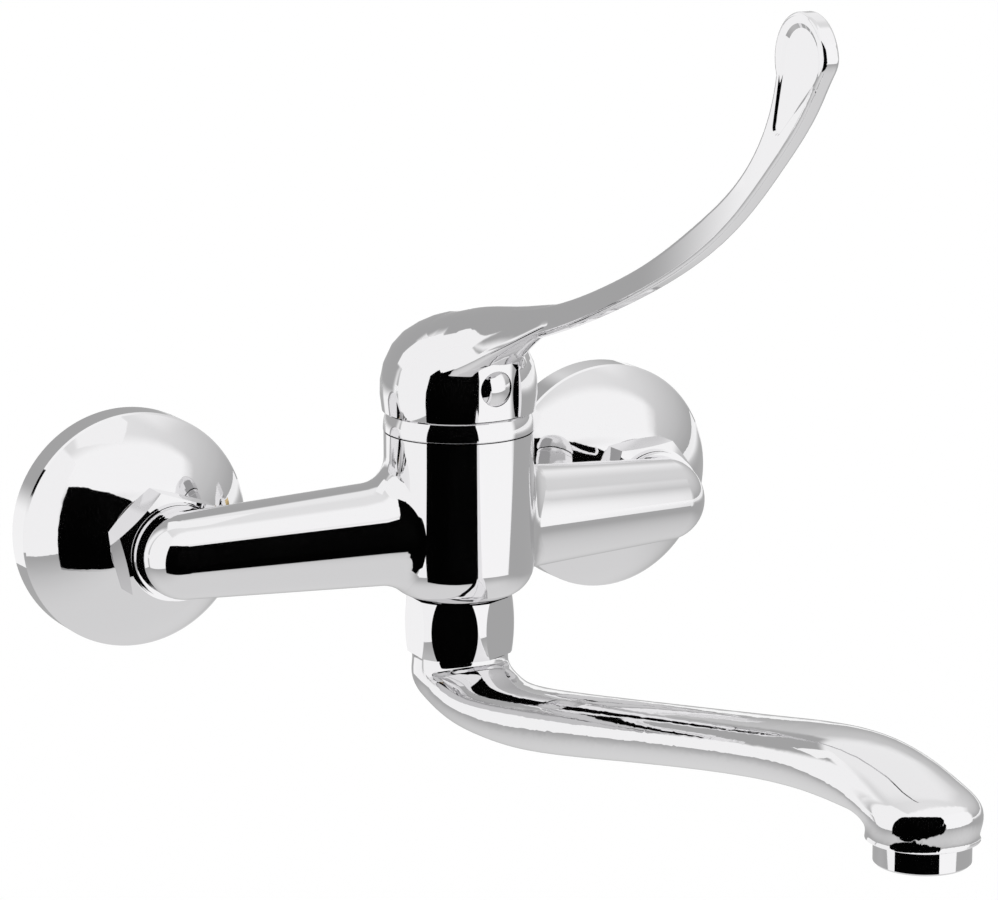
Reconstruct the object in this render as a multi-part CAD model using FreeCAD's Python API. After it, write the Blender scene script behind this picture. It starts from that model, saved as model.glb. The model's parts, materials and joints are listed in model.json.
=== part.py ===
import FreeCAD, Part
import math
import os

from FreeCAD import Placement, Rotation, Vector

# Wall-mounted single-lever tap, in millimetres. X runs along the wall, -Y points away from the wall
# towards the user and Z is up. The origin lies on the wall plane, midway between the two unions.

os.makedirs("parts", exist_ok=True)

# Driving dimensions of the whole tap
inlet_spacing = 150.0        # between the two union axes
elbow_run = 18.2             # from the straight neck to the upright axis, away from the wall
arm_height = 4.6             # arm axis above the union axes
spout_reach = 238.0          # from the body axis to the aerator axis
fit_gap = 0.1                # between parts that are screwed or pushed together
turn_gap = 0.15              # radial gap between parts that turn in each other
seam = 0.3                   # visible gap between two outer pieces

# Body casting
barrel_r = 20.8
barrel_bottom = -15.0
barrel_top = 31.4
barrel_round = 9.0           # lower edge of the barrel
arm_root_r = 15.6            # arm radius at the body axis
arm_end_r = 12.0             # arm radius at the elbow
neck_r = 11.9                # inlet neck of the elbow
neck_land = 1.5              # straight neck between groove and elbow
neck_rim_r = 13.2
neck_rim_depth = 2.2
neck_groove = 0.7
nut_relief = 0.8             # the casting is hollowed round the corners of the nut
waterway_r = 6.5
waterway_start = 7.5         # from the body axis, clear of the outlet
nozzle_r = 11.95             # M24 thread
nozzle_length = 9.6
nozzle_bore_r = 9.05
root_fillet = 7.5            # where an arm runs into the barrel

# Wall side: unions, nuts and covers
nut_across_flats = 29.0
nut_back = 26.5              # wall to the back face of the nut
nut_length = 11.5
nut_collar_r = 13.6
nut_collar = 0.9
nut_turn = {-1: -18.0, 1: 5.0}    # degrees each nut ends up turned when it is tight
union_thread_r = 13.2        # G 3/4
union_end = 31.7             # wall to the sealing face of the union
union_offset = 5.0           # eccentricity of the wall thread, downwards
union_bore_r = 6.0
wall_thread_r = 10.45        # G 1/2
wall_thread_length = 16.0
washer_thickness = 2.4
flange_thickness = 2.0
flange_r = 11.9
nipple_r = 9.45
nipple_depth = 5.0           # thread of the nipple inside the neck
strainer_thickness = 0.8
strainer_hole_r = 0.8
cover_r = 33.5
cover_band = 8.7             # depth of the cover's outer band
cover_neck_r = 14.4
cover_depth = 25.6
cover_wall = 1.0

# Cartridge, stacked upwards from the floor of the body
cartridge_floor = 13.4
cartridge_r = 17.4
cartridge_wall = 1.9
cartridge_shoulder = 26.0    # height of the shoulder under the nut
cartridge_top = 36.0
cartridge_neck_r = 14.6
cartridge_base_height = 2.4
disc_r = 13.0
moving_disc_r = 11.5
disc_height = 2.5
coupler_r = 10.0
coupler_height = 4.3
carrier_r = 13.2
carrier_gap = 0.25
inlet_hole = (8.0, 3.5)      # from the body axis, to the side and away from the wall
inlet_hole_r = 3.2
outlet_hole = 8.5            # from the body axis, towards the wall
outlet_hole_r = 4.0
seal_wire_r = 0.7
pivot_height = 28.0          # tilt axis of the lever
stem_width = 7.0
stem_top = 53.0
stem_foot = 23.45            # centre of the stem's round foot
foot_r = 1.9
stem_eye_r = 2.6             # round the pin
pin_r = 1.5
pin_length = 20.0
lever_tilt = 25.0            # degrees from closed to fully open
nut_thread_r = 18.4
cartridge_nut_top = 35.2
cartridge_nut_r = 16.6
collar_top = 37.1
collar_top_r = 20.2
collar_bottom_r = 20.95
collar_bore_r = 16.9
collar_lip = 1.2
stem_hole_r = 12.6

# Lever
cap_rim = collar_top + seam
cap_rim_r = 21.2
cap_bulge_r = 21.8
cap_bulge_height = 6.2       # above the rim
cap_height = 27.4            # above the rim
cap_inner_r = 20.45          # skirt that slides down over the collar
cap_front_wall = 3.4
skirt_start = 4.0            # the thin skirt starts this far in front of the axis
skirt_height = 8.4
hub_r = 8.0
window_turn = 5.0            # degrees the recess and its screw sit to the right of the blade
window_half = 7.6            # recess round the plug
window_corner = 4.6
window_top = 55.6
window_r = collar_top_r      # the recess carries on the face of the collar
plug_height = 46.2
hub_bottom = plug_height - 3.0    # the hub carries the screw under the plug
plug_r = 4.85
plug_hole_depth = 3.4
plug_dome = 1.6
screw_r = 2.5
blade_thickness = 4.4
blade_edge = 1.0
paddle_r = 10.7
paddle_centre = (183.0, 153.9)   # from the body axis, and height
panel_inset = 2.3
panel_slope = 1.1            # width of the sloping wall round the panel
panel_depth = 0.5

# Spout
spout_nut_top = -15.2
spout_nut_height = 16.1
spout_nut_r = 14.6
spout_nut_belly_r = 15.2
spout_nut_flats = 27.5
spout_nut_turn = -32.0       # degrees, where the tightened nut comes to rest
spout_nut_lip = 2.6
spout_neck_r = 13.5
tail_r = 8.9
tail_bore_r = 5.9
tail_top = -8.0
ring_groove = 1.2
o_ring_r = 0.9
spout_wall = 2.6
mouth_r = 13.35
mouth_bottom = -19.0
aerator_r = 11.4
aerator_height = 5.9
aerator_thread_r = 11.1
aerator_thread = 6.5
aerator_wall = 1.3

neck_start = nut_back + nut_length + nut_collar + seam    # wall to the end face of the neck
neck_front = neck_start + neck_rim_depth + neck_groove + neck_land
body_reach = neck_front + elbow_run                       # wall to the upright axis
axis = Vector(0, -body_reach, 0)
up = Vector(0, 0, 1)
towards_user = Vector(0, -1, 0)
towards_wall = Vector(0, 1, 0)
across = Vector(1, 0, 0)
side_x = inlet_spacing / 2


def outline(start, *steps):
    """Closed face in the XZ plane: a step of 2 numbers is a line, one of 4 an arc through a point."""
    at = Vector(start[0], 0, start[1])
    first, edges = at, []
    for step in steps:
        end = Vector(step[-2], 0, step[-1])
        if len(step) == 4:
            edges.append(Part.Arc(at, Vector(step[0], 0, step[1]), end).toShape())
        else:
            edges.append(Part.LineSegment(at, end).toShape())
        at = end
    if at.distanceToPoint(first) > 1e-6:
        edges.append(Part.LineSegment(at, first).toShape())
    return Part.Face(Part.Wire(edges))


def turned(start, *steps):
    """Solid of revolution about Z, from radius and height."""
    return outline(start, *steps).revolve(Vector(), up, 360)


def placed(shape, base, direction=up):
    """The shape with its Z axis laid along the direction, from the base point."""
    moved = shape.copy()
    moved.Placement = Placement(base, Rotation(up, direction))
    return moved


def rod(base, direction, radius, length):
    return Part.makeCylinder(radius, length, base, direction)


def pipe(base, direction, outer, inner, length):
    return rod(base, direction, outer, length).cut(rod(base, direction, inner, length))


def block(corner, size):
    return Part.makeBox(size[0], size[1], size[2], corner)


def ring(centre, direction, wire_r, radius):
    return Part.makeTorus(radius, wire_r, centre, direction)


def circle(centre, direction, radius):
    return Part.Wire([Part.Circle(centre, direction, radius).toShape()])


def tapered(*sections):
    """Straight-walled solid through circles, each a centre, direction and radius."""
    return Part.makeLoft([circle(*s) for s in sections], True, True)


def hex_face(centre, corner, turn):
    """Flat hexagon from its corner radius, its first corner turned from X."""
    angles = [math.radians(turn + a) for a in range(0, 361, 60)]
    points = [centre + Vector(math.cos(a), math.sin(a), 0) * corner for a in angles]
    return Part.Face(Part.makePolygon(points))


def hexagon(base, direction, across_flats, length, chamfer, turn):
    """Hexagonal prism with both faces turned down to a cone, as a nut is."""
    corner = across_flats / math.sqrt(3)
    prism = hex_face(Vector(), corner, turn).extrude(Vector(0, 0, length))
    flat = across_flats / 2
    rise = (corner - flat + 0.6) * math.tan(math.radians(chamfer))
    cone = turned((0, 0), (flat - 0.6, 0), (corner + 0.01, rise), (corner + 0.01, length - rise),
                  (flat - 0.6, length), (0, length))
    return placed(prism.common(cone), base, direction)


def save(name, shape):
    solids = shape.Solids
    whole = solids[0] if len(solids) == 1 else Part.makeCompound(solids)
    whole.exportStep("parts/" + name + ".step")
    box = whole.BoundBox
    print(f"{name}: {len(solids)} solid, {whole.Volume / 1000:.2f} cm3, valid {whole.isValid()},"
          f" z {box.ZMin:.1f} to {box.ZMax:.1f}")


def by_axis(x, y, z):
    """Point given from the upright axis: x to the right, y away from the wall, z up."""
    return Vector(x, -body_reach - y, z)


# Body casting: barrel, two arms with elbows, inlet necks and the spout nozzle
def neck_centre(side, depth):
    return Vector(side * side_x, -depth, 0)


def arm_path(side):
    """Start, direction and length of an arm, which is swept back from the body axis to its elbow."""
    start = Vector(0, -body_reach, arm_height)
    along = neck_centre(side, neck_front) - start
    return start, along / along.Length, along.Length


def make_body():
    foot_r = barrel_r - barrel_round
    corner = barrel_round * (1 - math.sqrt(0.5))
    barrel = placed(turned((0, barrel_bottom), (foot_r, barrel_bottom),
                           (barrel_r - corner, barrel_bottom + corner, barrel_r, barrel_bottom + barrel_round),
                           (barrel_r, barrel_top), (0, barrel_top)), axis)
    arms = []
    for side in (-1, 1):
        start, along, length = arm_path(side)
        arms.append(Part.makeCone(arm_root_r, arm_end_r, length, start, along))
    body = barrel.fuse(arms).removeSplitter()
    root = [e for e in body.Edges
            if type(e.Curve).__name__ == "BSplineCurve" and abs(e.CenterOfMass.x) < barrel_r + 2]
    body = body.makeFillet(root_fillet, root)
    for side in (-1, 1):
        elbow = neck_centre(side, neck_front)
        relief = rod(neck_centre(side, 0), towards_user, nut_across_flats / math.sqrt(3) + nut_relief,
                     neck_front - neck_land)
        body = body.fuse(Part.makeSphere(arm_end_r, elbow)).cut(relief)
    cuts = [rod(by_axis(0, 0, cartridge_floor), up, cartridge_r + fit_gap, barrel_top),
            rod(by_axis(0, 0, cartridge_shoulder - 1), up, nut_thread_r + fit_gap, barrel_top),
            rod(by_axis(0, -outlet_hole, barrel_bottom), up, outlet_hole_r, 40),
            rod(by_axis(0, 0, barrel_bottom - nozzle_length), up, nozzle_bore_r,
                tail_top + 1.5 - barrel_bottom + nozzle_length)]
    for side in (-1, 1):
        elbow = neck_centre(side, neck_front)
        rim_front = neck_centre(side, neck_start + neck_rim_depth)
        body = body.fuse([rod(elbow, towards_wall, neck_r, neck_front - neck_start),
                          rod(rim_front, towards_wall, neck_rim_r, neck_rim_depth)])
        start, along, length = arm_path(side)
        cuts += [rod(by_axis(side * inlet_hole[0], inlet_hole[1], arm_height), up, inlet_hole_r, 20),
                 rod(start + along * waterway_start, along, waterway_r, length - waterway_start),
                 Part.makeSphere(waterway_r, elbow),
                 rod(elbow, towards_wall, waterway_r, neck_front - neck_start),
                 rod(neck_centre(side, neck_start + nipple_depth), towards_wall, nipple_r + fit_gap / 2,
                     nipple_depth + 1)]
    body = body.fuse(rod(by_axis(0, 0, barrel_bottom + 2), -up, nozzle_r, nozzle_length + 2))
    return body.cut(cuts)


# Wall unions and what seals them
def flange_back():
    return union_end + washer_thickness + fit_gap


def make_nipple(side):
    back = neck_centre(side, flange_back())
    length = neck_start + nipple_depth - fit_gap - flange_back()
    shape = rod(back, towards_user, nipple_r, length)
    shape = shape.fuse(rod(back, towards_user, flange_r, flange_thickness))
    return shape.cut(rod(back, towards_user, waterway_r, length))


def make_union_nut(side):
    back = neck_centre(side, nut_back)
    nut = hexagon(back, towards_user, nut_across_flats, nut_length, 30, nut_turn[side])
    front = neck_centre(side, nut_back + nut_length - 1)
    nut = nut.fuse(rod(front, towards_user, nut_collar_r, nut_collar + 1))
    lip_back = flange_back() + flange_thickness + fit_gap
    nut = nut.cut(rod(back, towards_user, union_thread_r + fit_gap / 2, lip_back - nut_back))
    return nut.cut(rod(back, towards_user, nipple_r + fit_gap, nut_length + 2))


def make_washer(side):
    return pipe(neck_centre(side, union_end + fit_gap / 2), towards_user, flange_r, waterway_r + 0.2,
                washer_thickness)


def make_strainer(side):
    back = neck_centre(side, union_end + washer_thickness / 2)
    disc = rod(back, towards_user, waterway_r + 0.1, strainer_thickness)
    holes = []
    for count, radius in ((1, 0), (6, 2.5), (12, 4.9)):
        for k in range(count):
            turn = 2 * math.pi * k / count
            offset = Vector(radius * math.cos(turn), 0, radius * math.sin(turn))
            holes.append(rod(back + offset, towards_user, strainer_hole_r, strainer_thickness))
    return disc.cut(holes)


def make_s_union(side):
    def at(depth, drop):
        return Vector(side * side_x, -depth, -drop)
    bend_front, bend_back = 12.0, 2.0
    outer = rod(at(union_end, 0), towards_wall, union_thread_r, union_end - bend_front)
    outer = outer.fuse([
        tapered((at(bend_front, 0), towards_wall, union_thread_r),
                (at(bend_back, union_offset), towards_wall, wall_thread_r + 1)),
        rod(at(bend_back, union_offset), towards_wall, wall_thread_r, bend_back + wall_thread_length)])
    inner = rod(at(union_end, 0), towards_wall, union_bore_r, union_end - bend_front)
    inner = inner.fuse([
        tapered((at(bend_front, 0), towards_wall, union_bore_r),
                (at(bend_back, union_offset), towards_wall, union_bore_r)),
        rod(at(bend_back, union_offset), towards_wall, union_bore_r, bend_back + wall_thread_length)])
    return outer.cut(inner)


def make_escutcheon(side):
    bevel = 0.5
    middle_r, middle = 24.6, 18.4     # the cone bulges a little
    shell = turned((cover_r, 0), (cover_r, cover_band - bevel), (cover_r - bevel, cover_band),
                   (middle_r, middle, cover_neck_r, cover_depth),
                   (union_thread_r + fit_gap, cover_depth), (union_thread_r + fit_gap, cover_depth - 2.5),
                   (middle_r - 0.8, middle - cover_wall, cover_r - cover_wall - 1.0, cover_band - cover_wall),
                   (cover_r - cover_wall, cover_band - 2 * cover_wall), (cover_r - cover_wall, 0))
    return placed(shell, Vector(side * side_x, 0, 0), towards_user)


# Cartridge and what holds it down
def disc_ports(radius_gain=0.0):
    """Upright rods through the three water holes, to cut them out of what they pass."""
    rods = [rod(by_axis(s * inlet_hole[0], inlet_hole[1], cartridge_floor - 2), up,
                inlet_hole_r - 0.2 + radius_gain, 30) for s in (-1, 1)]
    outlet = by_axis(0, -outlet_hole, cartridge_floor - 2)
    return rods + [rod(outlet, up, outlet_hole_r - 0.4 + radius_gain, 30)]


def make_cartridge_base():
    floor = by_axis(0, 0, cartridge_floor)
    inside_r = cartridge_r - cartridge_wall - fit_gap
    base = rod(floor, up, inside_r, cartridge_base_height)
    rim = pipe(floor, up, cartridge_r, inside_r - 0.5, cartridge_base_height / 2)
    grooves = [rod(c, up, r + seal_wire_r, 2 * seal_wire_r) for c, r in port_centres()]
    return base.fuse(rim).cut(grooves).cut(disc_ports())


def port_centres():
    """Centre and radius of the face seal round each water hole."""
    centres = [(by_axis(s * inlet_hole[0], inlet_hole[1], cartridge_floor), inlet_hole_r + 0.6)
               for s in (-1, 1)]
    return centres + [(by_axis(0, -outlet_hole, cartridge_floor), outlet_hole_r + 0.4)]


def make_seals():
    return Part.makeCompound([ring(c + up * (seal_wire_r + 0.02), up, seal_wire_r - 0.03, r)
                              for c, r in port_centres()])


def make_housing():
    bottom = cartridge_floor + cartridge_base_height / 2 + fit_gap / 2
    inside_r = cartridge_r - cartridge_wall
    ceiling = cartridge_shoulder + 0.6
    lip = cartridge_top - 1.4
    return placed(turned((inside_r, bottom), (cartridge_r, bottom), (cartridge_r, cartridge_shoulder),
                         (cartridge_neck_r, cartridge_shoulder), (cartridge_neck_r, cartridge_top - 0.6),
                         (cartridge_neck_r - 0.6, cartridge_top), (stem_hole_r - 0.6, cartridge_top),
                         (stem_hole_r - 0.6, lip), (carrier_r + turn_gap, lip), (carrier_r + turn_gap, ceiling - 2),
                         (inside_r, ceiling - 2)), axis)


def disc_level():
    return cartridge_floor + cartridge_base_height


def make_fixed_disc():
    return rod(by_axis(0, 0, disc_level()), up, disc_r, disc_height).cut(disc_ports(-0.3))


def make_moving_disc():
    level = disc_level() + disc_height + 0.02
    disc = rod(by_axis(0, 0, level), up, moving_disc_r, disc_height - 0.02)
    edge = inlet_hole[1] - inlet_hole_r      # the chamber stops just short of the inlets when closed
    hollow = block(by_axis(-disc_r, edge - 0.1, level), (2 * disc_r, disc_r, disc_height * 0.55))
    return disc.cut(hollow.common(rod(by_axis(0, 0, level), up, moving_disc_r - 1.8, disc_height)))


def make_coupler():
    level = disc_level() + 2 * disc_height + 0.05
    play = 0.05
    socket = block(by_axis(-stem_width / 2 - play, foot_r + play, level + 0.6),
                   (stem_width + 2 * play, 2 * (foot_r + play), coupler_height))
    return rod(by_axis(0, 0, level), up, coupler_r, coupler_height).cut(socket)


def make_carrier():
    level = disc_level() + 2 * disc_height + coupler_height + 0.35
    top = cartridge_top - 1.4 - carrier_gap
    carrier = rod(by_axis(0, 0, level), up, carrier_r, top - level)
    swing = (top - pivot_height) * math.tan(math.radians(lever_tilt))
    half = stem_width / 2
    corners = [(half + 0.8, level - 1), (half + 0.8, top + 1), (-half - swing - 2.2, top + 1),
               (-half - 1.6, pivot_height), (-half - 0.8, level - 1), (half + 0.8, level - 1)]
    slot = Part.Face(Part.makePolygon([by_axis(0, y, z) for y, z in corners]))
    slot = slot.extrude(Vector(stem_width + 0.6, 0, 0))
    slot.translate(Vector(-stem_width / 2 - 0.3, 0, 0))
    pin_hole = rod(by_axis(-pin_length / 2 - 0.1, 0, pivot_height), across, pin_r + 0.02, pin_length + 0.2)
    return carrier.cut([slot, pin_hole])


def make_pin():
    return rod(by_axis(-pin_length / 2, 0, pivot_height), across, pin_r, pin_length)


def make_stem():
    half, thin = stem_width / 2, foot_r - 0.9
    bar = block(by_axis(-half, half, pivot_height), (stem_width, stem_width, stem_top - pivot_height))
    eye = rod(by_axis(-half, 0, pivot_height), across, stem_eye_r, stem_width)
    shank = block(by_axis(-half, thin, stem_foot), (stem_width, 2 * thin, pivot_height - stem_foot))
    foot = rod(by_axis(-half, 0, stem_foot), across, foot_r, stem_width)
    stem = bar.fuse([eye, shank, foot]).removeSplitter()
    return stem.cut(rod(by_axis(-half, 0, pivot_height), across, pin_r + 0.05, stem_width))


def make_cartridge_nut():
    key_r = cartridge_neck_r + turn_gap
    nut = turned((key_r, cartridge_shoulder + fit_gap), (nut_thread_r, cartridge_shoulder + fit_gap),
                 (nut_thread_r, barrel_top - fit_gap), (cartridge_nut_r, barrel_top),
                 (cartridge_nut_r, cartridge_nut_top), (key_r, cartridge_nut_top))
    return placed(nut, axis)


def make_collar():
    inner = collar_bore_r
    bottom = barrel_top + seam / 2
    lip = collar_top - collar_lip
    bevel = 0.4
    collar = turned((inner, bottom), (collar_bottom_r - bevel, bottom), (collar_bottom_r, bottom + bevel),
                    (collar_top_r + 0.4, (bottom + collar_top) / 2 + 1, collar_top_r, collar_top - bevel),
                    (collar_top_r - bevel, collar_top), (stem_hole_r + 1.2, collar_top),
                    (stem_hole_r + 1.2, lip + 0.4), (inner, lip - 0.2))
    return placed(collar, axis)


# Lever
def blade_outline():
    """Side view of the blade: distance from the body axis and height."""
    rear = [(36.0, 71.2), (60.0, 76.3), (85.0, 84.7), (110.0, 95.3), (135.0, 108.9), (156.0, 123.5),
            (166.0, 135.3), (171.4, 149.0)]
    front = [(193.6, 155.0), (193.1, 152.8), (191.1, 149.9), (186.3, 143.3), (171.0, 127.4), (150.7, 110.4), (126.0, 95.6), (100.1, 83.9),
             (66.8, 71.3), (36.0, 61.9)]
    def points(pairs):
        return [by_axis(0, y, z) for y, z in pairs]
    rear_curve, front_curve = Part.BSplineCurve(), Part.BSplineCurve()
    rear_curve.interpolate(points(rear))
    front_curve.interpolate(points(front))
    turn = math.radians(75)
    crown = by_axis(0, paddle_centre[0] + paddle_r * math.cos(turn),
                    paddle_centre[1] + paddle_r * math.sin(turn))
    cap = Part.Arc(points(rear)[-1], crown, points(front)[0])
    close = Part.LineSegment(points(front)[-1], points(rear)[0])
    return Part.Wire([rear_curve.toShape(), cap.toShape(), front_curve.toShape(), close.toShape()])


def make_blade():
    half = Vector(blade_thickness / 2, 0, 0)
    blade = Part.Face(blade_outline()).extrude(half * 2)
    blade.translate(-half)
    rims = [e for e in blade.Edges if abs(abs(e.CenterOfMass.x) - half.x) < 1e-3
            and e.Length > 5 and e.CenterOfMass.y < by_axis(0, 40, 0).y]
    blade = blade.makeFillet(blade_edge, rims)
    panel_r = paddle_r - panel_inset
    tip_r = 1.9
    for side in (-1, 1):
        wires = []
        for depth, inset in ((panel_depth, panel_slope), (0.0, 0.0), (-panel_depth, 0.0)):
            x = side * (blade_thickness / 2 - depth)
            low, high = by_axis(x, 172.6, 136.6), by_axis(x, paddle_centre[0], paddle_centre[1])
            wires.append(teardrop(low, tip_r - inset / 2, high, panel_r - inset).OuterWire)
        blade = blade.cut(Part.makeLoft(wires, True, True))
    return blade


def teardrop(low, low_r, high, high_r):
    """Face in the YZ plane: two circles and their outer tangents."""
    along = high - low
    length = along.Length
    u = along / length
    v = across.cross(u)
    sine = (high_r - low_r) / length
    cosine = math.sqrt(1 - sine * sine)
    def on(centre, radius, sign):
        return centre + (v * (sign * cosine) - u * sine) * radius
    a, b = on(low, low_r, 1), on(high, high_r, 1)
    c, d = on(high, high_r, -1), on(low, low_r, -1)
    edges = [Part.LineSegment(a, b), Part.Arc(b, high + u * high_r, c), Part.LineSegment(c, d),
             Part.Arc(d, low - u * low_r, a)]
    return Part.Face(Part.Wire([e.toShape() for e in edges]))


def beak_stations():
    """Along the beak: reach, top, half width, height of the widest line, depth below it, fullness of the sides."""
    return [(-10.0, 60.0, 12.0, 47.0, 4.0, 2.0), (-4.0, 63.3, 16.5, 47.0, 4.0, 2.0),
            (3.0, 65.4, 18.0, 47.5, 4.0, 1.9), (12.0, 67.6, 15.6, 49.0, 4.0, 1.5),
            (20.0, 69.2, 9.8, 53.2, 3.5, 1.5), (28.0, 70.5, 6.6, 57.6, 3.0, 1.6),
            (38.0, 72.1, 4.4, 62.4, 2.0, 1.8), (48.0, 74.0, 3.1, 67.0, 1.5, 2.0),
            (60.0, 76.3, 1.9, 71.8, 1.0, 2.0)]


def make_beak(count=24, around=28):
    """Narrowing beak that carries the dome over into the blade."""
    stations = beak_stations()
    reaches = [s[0] for s in stations]
    curves = []
    for column in range(1, 6):
        curve = Part.BSplineCurve()
        curve.interpolate([Vector(s[0], s[column], 0) for s in stations], Parameters=reaches)
        curves.append(curve)
    rows = []
    for k in range(count + 1):
        reach = reaches[0] + (reaches[-1] - reaches[0]) * k / count
        top, half_width, level, lower, fullness = [c.value(reach).y for c in curves]
        row = []
        for j in range(around + 1):
            turn = 2 * math.pi * (j % around) / around + math.pi / 2
            c, s = math.cos(turn), math.sin(turn)
            power = 2 / fullness if s > 0 else 1.0
            x = math.copysign(abs(c) ** power, c) * half_width
            rise = math.copysign(abs(s) ** power, s) * (top - level if s > 0 else lower)
            row.append(by_axis(x, reach, level + rise))
        rows.append(row)
    return skinned(rows)


def make_lever():
    rim, top = cap_rim, cap_rim + cap_height
    dome = Part.BSplineCurve()
    profile = [(cap_rim_r, rim), (cap_bulge_r, rim + cap_bulge_height), (21.1, top - 15.6), (19.6, top - 11.6),
               (16.8, top - 7.5), (12.0, top - 3.9), (6.2, top - 1.3), (0, top)]
    dome.interpolate([Vector(r, 0, z) for r, z in profile])
    base = Part.LineSegment(Vector(0, 0, rim), Vector(cap_rim_r, 0, rim)).toShape()
    close = Part.LineSegment(Vector(0, 0, top), Vector(0, 0, rim)).toShape()
    cap = Part.Face(Part.Wire([base, dome.toShape(), close])).revolve(Vector(), up, 360)
    cap = placed(cap, axis)
    cap.rotate(axis, up, 90)
    lever = cap.fuse(make_beak()).fuse(make_blade())
    # recess in front, flush with the collar, for the plug
    front = rod(by_axis(0, 0, rim - 1), up, cap_bulge_r + 6, window_top - rim + 1)
    front = front.cut(rod(by_axis(0, 0, rim - 1), up, window_r, window_top - rim + 1))
    lever = lever.cut(faced(front.common(window_block())))
    # inside: thin skirt behind, thicker wall in front, hub round the stem
    rear = rod(by_axis(0, 0, rim - 1), up, cap_inner_r, skirt_height + 1)
    rear = rear.cut(block(by_axis(-40, 60, rim - 1), (80, 60 - skirt_start, skirt_height + 1)))
    fore = rod(by_axis(0, 0, rim - 1), up, cap_rim_r - cap_front_wall, 3.6)
    hub = rod(by_axis(0, 0, hub_bottom), up, hub_r, 20)
    cavity = rear.fuse(fore).cut(hub)
    socket = block(by_axis(-stem_width / 2 - 0.05, stem_width / 2 + 0.05, hub_bottom - 6),
                   (stem_width + 0.1, stem_width + 0.1, stem_top + 0.3 - hub_bottom + 6))
    plug_seat = rod(by_axis(0, plug_seat_floor(), plug_height), towards_user, plug_r + fit_gap / 2, 10)
    screw_hole = rod(by_axis(0, stem_width / 4, plug_height), towards_user, screw_r + 0.02, window_r)
    return lever.cut([cavity, socket, faced(plug_seat), faced(screw_hole)])


def faced(shape):
    """The shape turned about the upright axis to where the recess faces."""
    moved = shape.copy()
    moved.rotate(axis, up, window_turn)
    return moved


def window_block():
    """Upright block with rounded upper corners, the opening of the recess seen from the front."""
    round_r, half, low = window_corner, window_half, cap_rim - 1
    corners = [rod(by_axis(s * (half - round_r), 0, window_top - round_r), towards_user, round_r, 60)
               for s in (-1, 1)]
    wide = block(by_axis(-half, 60, low), (2 * half, 60, window_top - round_r - low))
    tall = block(by_axis(round_r - half, 60, low), (2 * (half - round_r), 60, window_top - low))
    return wide.fuse([tall] + corners)


def plug_seat_floor():
    return window_r - plug_hole_depth


def make_plug():
    radius = plug_r - fit_gap / 2
    length = plug_hole_depth - 0.6
    ball_r = (radius ** 2 + plug_dome ** 2) / (2 * plug_dome)
    half_angle = math.asin(radius / ball_r) / 2
    centre = length + plug_dome - ball_r
    middle = (ball_r * math.sin(half_angle), centre + ball_r * math.cos(half_angle))
    shape = turned((0, 0), (radius, 0), (radius, length), (*middle, 0, length + plug_dome))
    return faced(placed(shape, by_axis(0, plug_seat_floor() + fit_gap, plug_height), towards_user))


def make_set_screw():
    start = stem_width / 2 + 0.02 + (stem_width / 2) * math.sin(math.radians(window_turn))
    length = 9.0
    screw = rod(by_axis(0, start, plug_height), towards_user, screw_r, length)
    key = placed(hex_face(Vector(), 1.25, 0).extrude(Vector(0, 0, 2.5)),
                 by_axis(0, start + length - 2.5, plug_height), towards_user)
    return faced(screw.cut(key))


# Spout, its nut and the aerator
def make_spout_nut():
    low, high = spout_nut_top - spout_nut_height, spout_nut_top
    middle = (low + high) / 2
    barrel = turned((0, low), (spout_nut_r, low), (spout_nut_belly_r, middle, spout_nut_r, high), (0, high))
    face = hex_face(Vector(0, 0, low), spout_nut_flats / math.sqrt(3), spout_nut_turn - 60)
    nut = placed(barrel.common(face.extrude(Vector(0, 0, spout_nut_height))), axis)
    nut = nut.cut(rod(by_axis(0, 0, low + spout_nut_lip), up, nozzle_r + fit_gap / 2, spout_nut_height))
    return nut.cut(rod(by_axis(0, 0, low - 1), up, tail_r + turn_gap, spout_nut_height))


def retaining_level():
    """Bottom of the retaining ring, just above the nut's lip."""
    return spout_nut_top - spout_nut_height + spout_nut_lip + 0.9


def make_retaining_ring():
    body = pipe(by_axis(0, 0, retaining_level()), up, nozzle_r - 0.3, tail_r - ring_groove + turn_gap, 2.0)
    split = block(by_axis(-1.0, nozzle_r + 1, retaining_level() - 1), (2.0, nozzle_r, 4.0))
    return body.cut(split)


def make_glide_washer():
    level = retaining_level() - 0.8
    return pipe(by_axis(0, 0, level), up, nozzle_r - 0.2, tail_r + turn_gap, 0.7)


def o_ring_levels():
    return [tail_top - 4.2, tail_top - 9.4]


def make_o_rings():
    centre_r = nozzle_bore_r - o_ring_r - 0.02
    return Part.makeCompound([ring(by_axis(0, 0, z), up, o_ring_r, centre_r) for z in o_ring_levels()])


def section_oval(fore, aft, half_width, squareness, count=24):
    """Ring of points across the spout, from its back or bottom point round to it again."""
    centre = (fore + aft) * 0.5
    reach = (fore - aft).Length / 2
    u = (fore - aft).normalize()
    power = 2 / squareness        # 2 is an ellipse, more is squarer
    ring_points = []
    for k in range(count + 1):
        turn = 2 * math.pi * (k % count) / count - math.pi / 2
        c, s = math.cos(turn), math.sin(turn)
        x = math.copysign(abs(c) ** power, c) * half_width
        h = math.copysign(abs(s) ** power, s) * reach
        ring_points.append(centre + Vector(x, 0, 0) + u * h)
    return ring_points


def skinned(rows):
    """Solid with one smooth skin through the rows of points and a flat face at either end."""
    skin = Part.BSplineSurface()
    skin.interpolate(rows)
    side = skin.toShape()
    faces = [side] + [Part.Face(Part.Wire([e])) for e in side.Edges if e.isClosed()]
    sewn = Part.makeCompound(faces)
    sewn.sewShape(1e-4)
    return Part.makeSolid(sewn.Shells[0])


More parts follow.
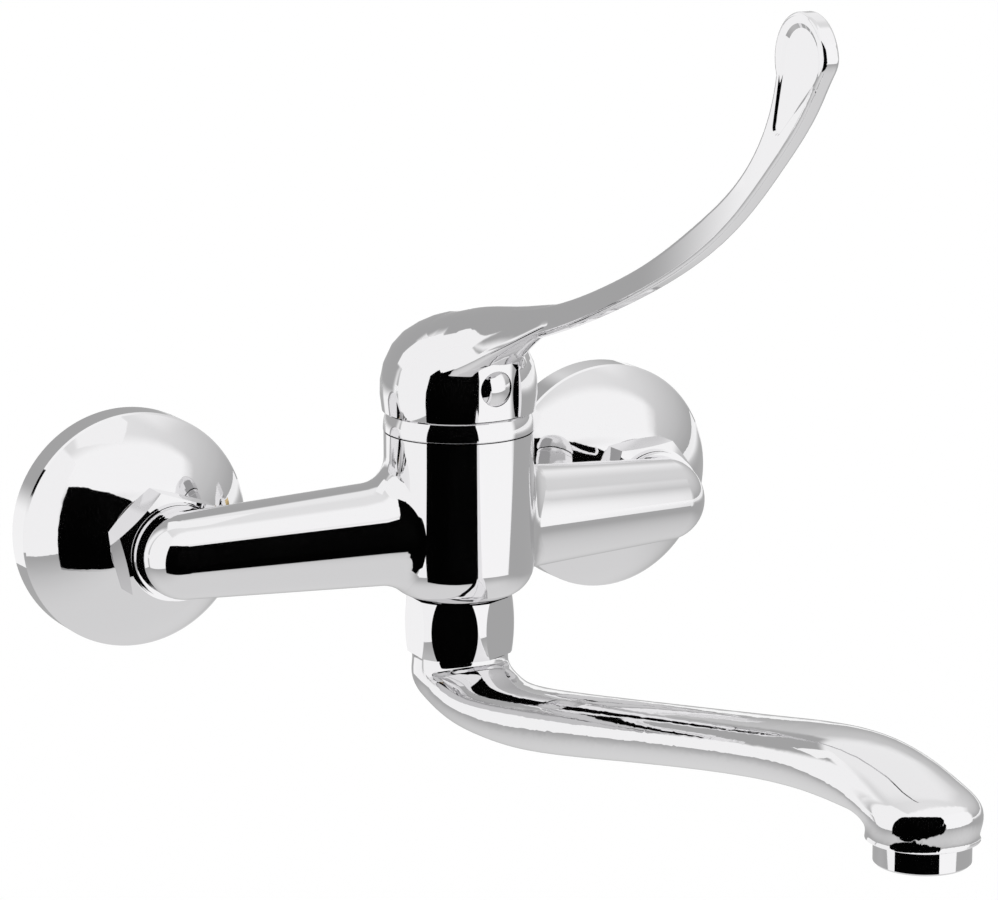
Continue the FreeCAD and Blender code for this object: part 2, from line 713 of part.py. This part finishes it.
def spout_stations():
    """Front or top point, back or bottom point, half width and squareness, from the neck to the mouth."""
    r, m = spout_neck_r, mouth_r
    low = spout_nut_top - spout_nut_height - seam
    end = spout_reach
    return [((r, low), (-r, low), r, 2.0),
            ((r + 0.5, low - 1.2), (-r, low - 7.0), r, 2.0),
            ((15.4, low - 1.3), (-12.0, low - 11.4), r, 2.0),
            ((18.6, low - 1.1), (-4.6, low - 15.8), 12.9, 2.0),
            ((24.5, low - 1.8), (9.0, low - 18.5), 12.2, 2.1),
            ((34.0, low - 1.5), (27.0, low - 18.3), 11.5, 2.3),
            ((52.0, low + 1.3), (48.0, low - 16.2), 10.8, 2.3),
            ((end - 138, low + 10.3), (end - 141, low - 6.3), 10.6, 2.3),
            ((end - 70, low + 23.4), (end - 73, low + 7.7), 11.2, 2.3),
            ((end - 38, low + 29.2), (end - 40, low + 12.3), 12.2, 2.2),
            ((end - 20, low + 30.1), (end - 23.5, low + 13.3), 13.0, 2.1),
            ((end - 6, low + 28.4), (end - 17.5, low + 13.6), m, 2.0),
            ((end + 5.5, low + 25.6), (end - 14.8, low + 13.7), m + 0.2, 2.0),
            ((end + 13.2, low + 22.2), (end - 13.8, low + 13.5), m + 0.2, 2.0),
            ((end + m + 0.7, mouth_bottom + 5.4), (end - m, mouth_bottom + 0.8), m, 2.0),
            ((end + m, mouth_bottom), (end - m, mouth_bottom), m, 2.0)]


def spout_skin(wall=0.0, neck_wall=0.0, mouth_wall=0.0, count=36):
    """The spout's outside, or with walls given its waterway, which narrows towards either end."""
    stations = spout_stations()
    fore = [by_axis(0, *s[0]) for s in stations]
    aft = [by_axis(0, *s[1]) for s in stations]
    along = [0.0]
    for k in range(1, len(stations)):
        step = ((fore[k] + aft[k]) - (fore[k - 1] + aft[k - 1])).Length / 2
        along.append(along[-1] + math.sqrt(step))
    curves = []
    for points in (fore, aft, [Vector(s[2], t, s[3]) for s, t in zip(stations, along)]):
        curve = Part.BSplineCurve()
        curve.interpolate(points, Parameters=along)
        curves.append(curve)
    rows = []
    for k in range(count + 1):
        t = along[-1] * k / count
        front, back, width = [c.value(t) for c in curves]
        at_neck, at_mouth = max(0.0, 1 - 4 * k / count), max(0.0, 4 * k / count - 3)
        inset = wall + (neck_wall - wall) * at_neck + (mouth_wall - wall) * at_mouth
        shift = (front - back).normalize() * inset
        rows.append(section_oval(front - shift, back + shift, width.x - inset, width.z))
    return skinned(rows)


def make_spout():
    low = spout_nut_top - spout_nut_height - seam
    tail = rod(by_axis(0, 0, low - 0.5), up, tail_r, tail_top - low + 0.5)
    for z in o_ring_levels():
        groove = pipe(by_axis(0, 0, z - o_ring_r - 0.1), up, tail_r + 1, nozzle_bore_r - 2 * o_ring_r - 0.1,
                      2 * o_ring_r + 0.2)
        tail = tail.cut(groove)
    tail = tail.cut(pipe(by_axis(0, 0, retaining_level() - 0.1), up, tail_r + 1, tail_r - ring_groove, 2.2))
    waterway = spout_skin(spout_wall, spout_neck_r - tail_bore_r - 0.3, spout_wall + 1.4)
    bore_top = rod(by_axis(0, 0, low - 0.5), up, tail_bore_r, tail_top - low + 1)
    mouth = by_axis(0, spout_reach, mouth_bottom - 1)
    seat = rod(mouth, up, aerator_thread_r + fit_gap / 2, aerator_thread + 1.4)
    return spout_skin().fuse(tail).cut([waterway, bore_top, seat])


def make_aerator_housing():
    bottom = mouth_bottom - aerator_height
    collar = mouth_bottom - 0.25
    shape = turned((aerator_r - aerator_wall, bottom + 0.6), (aerator_r - aerator_wall + 0.6, bottom),
                   (aerator_r - 0.5, bottom), (aerator_r, bottom + 0.5), (aerator_r, collar),
                   (aerator_thread_r - 0.1, collar), (aerator_thread_r - 0.1, mouth_bottom + aerator_thread - 1.6),
                   (aerator_r - aerator_wall, mouth_bottom + aerator_thread - 1.6))
    return placed(shape, by_axis(0, spout_reach, 0))


def make_aerator_insert():
    bottom = mouth_bottom - aerator_height + 1.6
    centre = by_axis(0, spout_reach, bottom)
    insert = rod(centre, up, aerator_r - aerator_wall - fit_gap / 2, aerator_height + aerator_thread - 4.4)
    pitch, slot = 2.4, 1.6
    cells = []
    steps = range(-3, 4)
    for i in steps:
        for j in steps:
            if math.hypot(i, j) * pitch < aerator_r - aerator_wall - 1.6:
                corner = centre + Vector(i * pitch - slot / 2, j * pitch - slot / 2, -1)
                cells.append(block(corner, (slot, slot, 3.4)))
    return insert.cut(cells)


def make_aerator_washer():
    level = mouth_bottom + aerator_thread - 1.5
    return pipe(by_axis(0, spout_reach, level), up, aerator_thread_r - 0.1, aerator_r - aerator_wall - 2, 1.6)


save("mixer_body", make_body())
for side, word in ((-1, "left"), (1, "right")):
    save("inlet_nipple_" + word, make_nipple(side))
    save("union_nut_" + word, make_union_nut(side))
    save("union_washer_" + word, make_washer(side))
    save("inlet_strainer_" + word, make_strainer(side))
    save("s_union_" + word, make_s_union(side))
    save("escutcheon_" + word, make_escutcheon(side))
save("cartridge_base", make_cartridge_base())
save("cartridge_seals", make_seals())
save("cartridge_housing", make_housing())
save("fixed_disc", make_fixed_disc())
save("moving_disc", make_moving_disc())
save("disc_coupler", make_coupler())
save("cartridge_carrier", make_carrier())
save("stem_pin", make_pin())
save("cartridge_stem", make_stem())
save("cartridge_nut", make_cartridge_nut())
save("cover_ring", make_collar())
save("lever_handle", make_lever())
save("lever_plug", make_plug())
save("lever_set_screw", make_set_screw())
save("spout_nut", make_spout_nut())
save("spout_retaining_ring", make_retaining_ring())
save("spout_glide_washer", make_glide_washer())
save("spout_o_rings", make_o_rings())
save("spout", make_spout())
save("aerator_housing", make_aerator_housing())
save("aerator_insert", make_aerator_insert())
save("aerator_washer", make_aerator_washer())
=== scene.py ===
# %% [markdown]
# A wall-mounted mixer tap in polished chrome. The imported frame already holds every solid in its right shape, so no
# piece is modelled again here. This file gives the solids their finishes, and builds the white studio whose cards
# make the picture that polished metal shows.
# First the frame is loaded and its size noted, before anything is added.

# %% Load the frame
import json
import math

import bmesh
import bpy
from mathutils import Matrix, Vector


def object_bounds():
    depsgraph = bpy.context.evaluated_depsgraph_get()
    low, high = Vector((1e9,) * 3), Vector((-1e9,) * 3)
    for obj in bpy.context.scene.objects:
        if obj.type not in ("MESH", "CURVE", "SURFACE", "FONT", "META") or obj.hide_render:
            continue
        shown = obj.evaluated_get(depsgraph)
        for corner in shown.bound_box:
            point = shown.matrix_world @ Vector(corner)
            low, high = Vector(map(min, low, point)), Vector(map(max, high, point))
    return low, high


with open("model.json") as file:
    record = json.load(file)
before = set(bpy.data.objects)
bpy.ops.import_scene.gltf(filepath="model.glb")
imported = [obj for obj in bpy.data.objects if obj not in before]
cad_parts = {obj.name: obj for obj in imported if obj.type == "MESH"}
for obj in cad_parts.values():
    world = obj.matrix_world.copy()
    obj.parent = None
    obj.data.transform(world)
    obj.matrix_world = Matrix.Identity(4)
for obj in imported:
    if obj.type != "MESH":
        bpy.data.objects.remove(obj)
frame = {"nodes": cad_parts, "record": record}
cad_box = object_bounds()
nodes = frame["nodes"]
scene = bpy.context.scene
print("nodes", len(nodes), "box", [round(v, 4) for v in (*cad_box[0], *cad_box[1])])

# %% [markdown]
# The camera comes first, because every later choice is judged through it. The picture was taken from the left and a
# little above, with a long lens, so the far cover is hardly smaller than the near one. A camera could be aimed with
# a constraint, but three plain angles and a place keep the view exact, so its matrix is built from those.

# %% Camera
camera_azimuth, camera_elevation, camera_roll = (math.radians(d) for d in (-26.99, 12.32, -0.11))
camera_place = Vector((-0.50362, -1.07508, 0.27274))
camera_lens, sensor_width = 151.18, 36.0              # millimetres
nearest, farthest = 0.05, 20.0                        # metres that the camera sees


def camera_matrix():
    ca, sa = math.cos(camera_azimuth), math.sin(camera_azimuth)
    ce, se = math.cos(camera_elevation), math.sin(camera_elevation)
    back = Vector((sa * ce, -ca * ce, se))
    right = Vector((ca, sa, 0))
    up = back.cross(right)
    cr, sr = math.cos(camera_roll), math.sin(camera_roll)
    turned_right, turned_up = right * cr + up * sr, up * cr - right * sr
    matrix = Matrix((turned_right, turned_up, back)).transposed().to_4x4()
    matrix.translation = camera_place
    return matrix


lens = bpy.data.cameras.new("camera")
lens.lens, lens.sensor_width = camera_lens, sensor_width
lens.clip_start, lens.clip_end = nearest, farthest
camera = bpy.data.objects.new("camera", lens)
camera.matrix_world = camera_matrix()
scene.collection.objects.link(camera)
scene.camera = camera
print("camera", [round(v, 3) for v in camera_place], "lens", camera_lens)


# %% [markdown]
# Every finish is built from the same few steps, so these come first: a bare material, noise on object coordinates
# whose blobs have a known size, a way to spread that noise over a range, and a bump. Object coordinates stay on the
# piece when it turns with the lever or the spout, which is why nothing here reads the camera or the window.

# %% Material helpers
def material(name):
    made = bpy.data.materials.new(name)
    made.use_nodes = True
    tree = made.node_tree
    return made, tree, tree.nodes["Principled BSDF"]


def object_noise(tree, size_m, detail=3.0):
    """Noise on object coordinates whose blobs are about size_m across."""
    place = tree.nodes.new("ShaderNodeTexCoord")
    noise = tree.nodes.new("ShaderNodeTexNoise")
    noise.inputs["Scale"].default_value = 1 / size_m
    noise.inputs["Detail"].default_value = detail
    tree.links.new(place.outputs["Object"], noise.inputs["Vector"])
    return noise.outputs["Fac"]


def spread(tree, value, low, high):
    """The value from 0 to 1 spread from low to high."""
    step = tree.nodes.new("ShaderNodeMapRange")
    step.inputs["To Min"].default_value = low
    step.inputs["To Max"].default_value = high
    tree.links.new(value, step.inputs["Value"])
    return step.outputs["Result"]


def add_bump(tree, shader, value, depth_m):
    """Shallow relief that follows the value, depth_m deep."""
    bump = tree.nodes.new("ShaderNodeBump")
    bump.inputs["Strength"].default_value = 1.0
    bump.inputs["Distance"].default_value = depth_m
    tree.links.new(value, bump.inputs["Height"])
    tree.links.new(bump.outputs["Normal"], shader.inputs["Normal"])


print("material helpers ready")


# %% [markdown]
# The outside of the tap is one finish: brass that was polished and then plated with chrome. Chrome shows almost
# nothing but its surroundings, so its own settings are few: a metal with a nearly white tint, and a very low
# roughness that varies a little where fingers and water touched it. A bump would dent the mirror images, so the
# marks are in the roughness alone.

# %% Polished chrome
chrome_tint = (0.82, 0.815, 0.825)
chrome_roughness = 0.03
smudge_size = 0.014                                   # metres, about a fingertip


def polished_chrome():
    """Polished plating: smooth, with faint finger and water marks in the roughness."""
    made, tree, shader = material("polished chrome")
    shader.inputs["Metallic"].default_value = 1.0
    shader.inputs["Base Color"].default_value = (*chrome_tint, 1)
    smudge = object_noise(tree, smudge_size)
    wiped, marked = chrome_roughness * 0.6, chrome_roughness * 1.5
    tree.links.new(spread(tree, smudge, wiped, marked), shader.inputs["Roughness"])
    return made


finishes = {"polished_chrome": polished_chrome()}
print("outside", list(finishes))


# %% [markdown]
# Behind the covers and inside the body there are brass and steel as the lathe left them. They scatter more light
# than the plating, and fine marks break their sheen. The marks could be cut into the mesh, but they are far finer
# than its faces, so a bump of a few hundredths of a millimetre does it.

# %% Machined metals
lathe_mark_depth = 0.00003


def metal(name, colour, roughness, grain_m):
    """Machined metal: a dull sheen with fine marks."""
    made, tree, shader = material(name)
    shader.inputs["Metallic"].default_value = 1.0
    shader.inputs["Base Color"].default_value = (*colour, 1)
    grain = object_noise(tree, grain_m, detail=4.0)
    tree.links.new(spread(tree, grain, roughness * 0.7, roughness * 1.3), shader.inputs["Roughness"])
    add_bump(tree, shader, grain, lathe_mark_depth)
    return made


finishes["bare_brass"] = metal("bare brass", (0.73, 0.55, 0.27), roughness=0.28, grain_m=0.0012)
finishes["stainless_steel"] = metal("stainless steel", (0.60, 0.59, 0.57), roughness=0.24, grain_m=0.0009)
print("metals", len(finishes) - 1)


# %% [markdown]
# The seals are rubber, the cartridge is plastic and its two discs are ceramic. They differ in colour, sheen and
# grain only, so one function makes all three: two close colours that drift into each other, and a fine surface.

# %% Moulded materials
def moulded(name, dark, light, roughness, grain_m, depth_m):
    """Rubber, plastic or ceramic: two close colours and a fine surface."""
    made, tree, shader = material(name)
    blend = tree.nodes.new("ShaderNodeMix")
    blend.data_type = "RGBA"
    blend.inputs["A"].default_value = (*dark, 1)
    blend.inputs["B"].default_value = (*light, 1)
    tree.links.new(object_noise(tree, grain_m * 4), blend.inputs["Factor"])
    tree.links.new(blend.outputs["Result"], shader.inputs["Base Color"])
    grain = object_noise(tree, grain_m, detail=4.0)
    tree.links.new(spread(tree, grain, roughness * 0.8, roughness * 1.2), shader.inputs["Roughness"])
    add_bump(tree, shader, grain, depth_m)
    return made


finishes["seal_rubber"] = moulded("seal rubber", (0.012, 0.012, 0.013), (0.025, 0.025, 0.027),
                                  roughness=0.55, grain_m=0.0008, depth_m=0.00003)
finishes["disc_ceramic"] = moulded("disc ceramic", (0.78, 0.77, 0.73), (0.84, 0.83, 0.80),
                                   roughness=0.16, grain_m=0.0006, depth_m=0.00001)
finishes["cartridge_plastic"] = moulded("cartridge plastic", (0.50, 0.52, 0.55), (0.57, 0.59, 0.61),
                                        roughness=0.38, grain_m=0.001, depth_m=0.00002)
print("finishes", len(finishes))

# %% [markdown]
# The record names a finish for each piece of the tap. Reading it from there, rather than listing the pieces again,
# means that no piece is missed and none is dressed in the wrong metal.

# %% Give the nodes their finishes
slot_of = {row["node"]: row["material_slot"] for row in frame["record"]["subparts"]}
for name, node in nodes.items():
    node.data.materials.clear()
    node.data.materials.append(finishes[slot_of[name]])
print({slot: sum(1 for n in nodes if slot_of[n] == slot) for slot in finishes})


# %% [markdown]
# Polished metal is a mirror, so most of its picture is made by what stands round it. A lamp would only give a small
# bright spot; a large flat card gives an even patch with an edge. The cards are seen by the mirror images alone. A
# card is placed by the angles at which the tap sees it, and may fade out towards its edges.

# %% Card helpers
def direction(azimuth, elevation):
    """Unit vector: azimuth 0 points away from the wall, positive to the right; elevation is upwards."""
    a, e = math.radians(azimuth), math.radians(elevation)
    return Vector((math.sin(a) * math.cos(e), -math.cos(a) * math.cos(e), math.sin(e)))


def edge_share(tree, coordinate, fade):
    """0 at either edge of the card, rising to 1 over the given share of its width."""
    edge = tree.nodes.new("ShaderNodeMath")
    edge.operation = "PINGPONG"
    edge.inputs[1].default_value = 0.5                # the middle of the card
    tree.links.new(coordinate, edge.inputs[0])
    ramp = tree.nodes.new("ShaderNodeMapRange")
    ramp.interpolation_type = "SMOOTHSTEP"
    ramp.inputs["From Max"].default_value = fade
    tree.links.new(edge.outputs["Value"], ramp.inputs["Value"])
    return ramp.outputs["Result"]


def card_finish(name, brightness, fade):
    """Even glow that fades out near the card's edges."""
    made = bpy.data.materials.new(name)
    made.use_nodes = True
    tree = made.node_tree
    tree.nodes.clear()
    glow = tree.nodes.new("ShaderNodeEmission")
    glow.inputs["Color"].default_value = (brightness, brightness, brightness, 1)
    out = tree.nodes.new("ShaderNodeOutputMaterial")
    if not fade:
        tree.links.new(glow.outputs["Emission"], out.inputs["Surface"])
        return made
    place = tree.nodes.new("ShaderNodeUVMap")
    place.uv_map = "card"
    split = tree.nodes.new("ShaderNodeSeparateXYZ")
    tree.links.new(place.outputs["UV"], split.inputs["Vector"])
    both = tree.nodes.new("ShaderNodeMath")
    both.operation = "MULTIPLY"
    tree.links.new(edge_share(tree, split.outputs["X"], fade), both.inputs[0])
    tree.links.new(edge_share(tree, split.outputs["Y"], fade), both.inputs[1])
    clear = tree.nodes.new("ShaderNodeBsdfTransparent")
    mix = tree.nodes.new("ShaderNodeMixShader")
    tree.links.new(both.outputs["Value"], mix.inputs["Fac"])
    tree.links.new(clear.outputs["BSDF"], mix.inputs[1])
    tree.links.new(glow.outputs["Emission"], mix.inputs[2])
    tree.links.new(mix.outputs["Shader"], out.inputs["Surface"])
    return made


def card(name, target, azimuth, elevation, distance, half_wide, half_high, brightness, fade=0.0):
    """Flat card in that direction from the target, which sees half its width and height at those angles."""
    mesh = bpy.data.meshes.new(name)
    panel = bmesh.new()
    uv = panel.loops.layers.uv.new("card")
    bmesh.ops.create_grid(panel, x_segments=1, y_segments=1, size=1.0, calc_uvs=False)
    for face in panel.faces:
        for loop in face.loops:
            loop[uv].uv = (loop.vert.co.x / 2 + 0.5, loop.vert.co.y / 2 + 0.5)
    size = [distance * math.tan(math.radians(half)) for half in (half_wide, half_high)]
    bmesh.ops.scale(panel, vec=(*size, 1), verts=panel.verts)
    towards = direction(azimuth, elevation)
    side = Vector((0, 0, 1)).cross(towards).normalized()
    turn = Matrix((side, towards.cross(side), towards)).transposed().to_4x4()
    place = Matrix.Translation(target + towards * distance)
    bmesh.ops.transform(panel, matrix=place @ turn, verts=panel.verts)
    panel.to_mesh(mesh)
    panel.free()
    mesh.materials.append(card_finish(name, brightness, fade))
    made = bpy.data.objects.new(name, mesh)
    scene.collection.objects.link(made)
    made.visible_camera = made.visible_diffuse = made.visible_shadow = False
    made.visible_transmission = False


print("card helpers ready")

# %% [markdown]
# One black card in front gives the barrel, the arm and the cap their dark cores with sharp edges, so it doesn't
# fade. White strips stand on both sides of it, farther away so that the black card covers their inner edges, and a
# white one hangs above.

# %% Cards in front, beside and above
barrel = Vector((0, -0.0618, 0.02))
middle = Vector((0, -0.10, 0.02))
card("black card", barrel, azimuth=-36, elevation=-9, distance=0.5,
     half_wide=39, half_high=46, brightness=0.0006)
card("left strip", middle, azimuth=-100, elevation=2, distance=0.9,
     half_wide=28, half_high=55, brightness=1.05, fade=0.06)
card("right strip", middle, azimuth=12, elevation=4, distance=0.9,
     half_wide=60, half_high=44, brightness=1.10, fade=0.16)
card("top light", middle, azimuth=0, elevation=62, distance=1.2,
     half_wide=62, half_high=26, brightness=1.08, fade=0.22)
print("cards in front", 4)

# %% [markdown]
# Behind the tap a small grey card tones the left of the cap, and a smaller white one beside it lights the cap's
# cheek. Two large white ones stand beyond: one brightens the side of the lever, the other whatever faces up. The
# mirror images of the floor are toned down too: grey towards the horizon, brighter straight below.

# %% Cards behind and below
cap = barrel + Vector((0, 0, 0.03))
card("rear grey card", cap, azimuth=-165, elevation=18, distance=0.15,
     half_wide=41, half_high=33, brightness=0.43, fade=0.14)
card("cheek card", cap, azimuth=-122, elevation=38, distance=0.12,
     half_wide=14, half_high=24, brightness=1.05, fade=0.06)
card("rear white card", middle, azimuth=-152, elevation=0, distance=1.0,
     half_wide=25, half_high=50, brightness=1.05, fade=0.15)
card("rear light", middle, azimuth=160, elevation=50, distance=1.2,
     half_wide=38, half_high=28, brightness=0.98, fade=0.25)
card("floor tone", middle, azimuth=0, elevation=-89, distance=0.36,
     half_wide=85, half_high=85, brightness=0.44, fade=0.30)
card("floor glow", middle, azimuth=0, elevation=-89, distance=0.34,
     half_wide=68, half_high=68, brightness=0.76, fade=0.38)
print("cards behind and below", 6)


# %% [markdown]
# The room is plain white for the camera and for the light it sheds. Only the mirror images see a quieter room, grey
# near the horizon and lighter overhead. The kind of ray picks between the two, so the tap gets its tones without
# any grey falling on the floor.

# %% World
# How light the room is, by the share of the way from straight down to straight up
levels = {0.0: 0.85, 0.3: 0.5, 0.48: 0.42, 0.62: 0.6, 0.85: 0.8, 1.0: 0.9}
world = bpy.data.worlds.new("white room")
world.use_nodes = True
tree = world.node_tree
background = tree.nodes["Background"]
heights = tree.nodes.new("ShaderNodeSeparateXYZ")
around = tree.nodes.new("ShaderNodeTexCoord")
tree.links.new(around.outputs["Generated"], heights.inputs["Vector"])
ramp = tree.nodes.new("ShaderNodeValToRGB")
upward = tree.nodes.new("ShaderNodeMapRange")
upward.inputs["From Min"].default_value = -1.0        # straight down
tree.links.new(heights.outputs["Z"], upward.inputs["Value"])
tree.links.new(upward.outputs["Result"], ramp.inputs["Fac"])
while len(ramp.color_ramp.elements) < len(levels):
    ramp.color_ramp.elements.new(0.5)
for element, (height, grey) in zip(ramp.color_ramp.elements, sorted(levels.items())):
    element.position = height
    element.color = (grey, grey, grey, 1)
rays = tree.nodes.new("ShaderNodeLightPath")
pick = tree.nodes.new("ShaderNodeMix")
pick.data_type = "RGBA"
pick.inputs["A"].default_value = (1, 1, 1, 1)
tree.links.new(rays.outputs["Is Glossy Ray"], pick.inputs["Factor"])
tree.links.new(ramp.outputs["Color"], pick.inputs["B"])
tree.links.new(pick.outputs["Result"], background.inputs["Color"])
scene.world = world
print("world levels", len(levels))

# %% [markdown]
# The floor lies well below the tap, because the real one hangs on a wall and the picture shows no shadow near it.
# It is a matt white disc, wide enough that its rim is never seen.

# %% Floor and view
floor_drop, floor_radius = 0.35, 30.0                 # metres; the drop is from the lowest point of the tap
floor_height = cad_box[0][2] - floor_drop
floor_mesh = bpy.data.meshes.new("floor")
floor_form = bmesh.new()
bmesh.ops.create_circle(floor_form, cap_ends=True, segments=64, radius=floor_radius)
bmesh.ops.translate(floor_form, vec=(0, 0, floor_height), verts=floor_form.verts)
floor_form.to_mesh(floor_mesh)
floor_form.free()
paint, tree, shader = material("white floor")
shader.inputs["Base Color"].default_value = (1.0, 1.0, 1.0, 1)
shader.inputs["Roughness"].default_value = 1.0
shader.inputs["Specular IOR Level"].default_value = 0.0
floor_mesh.materials.append(paint)
floor = bpy.data.objects.new("floor", floor_mesh)
scene.collection.objects.link(floor)
scene.view_settings.view_transform = "Standard"
print("floor at", round(floor_height, 3))
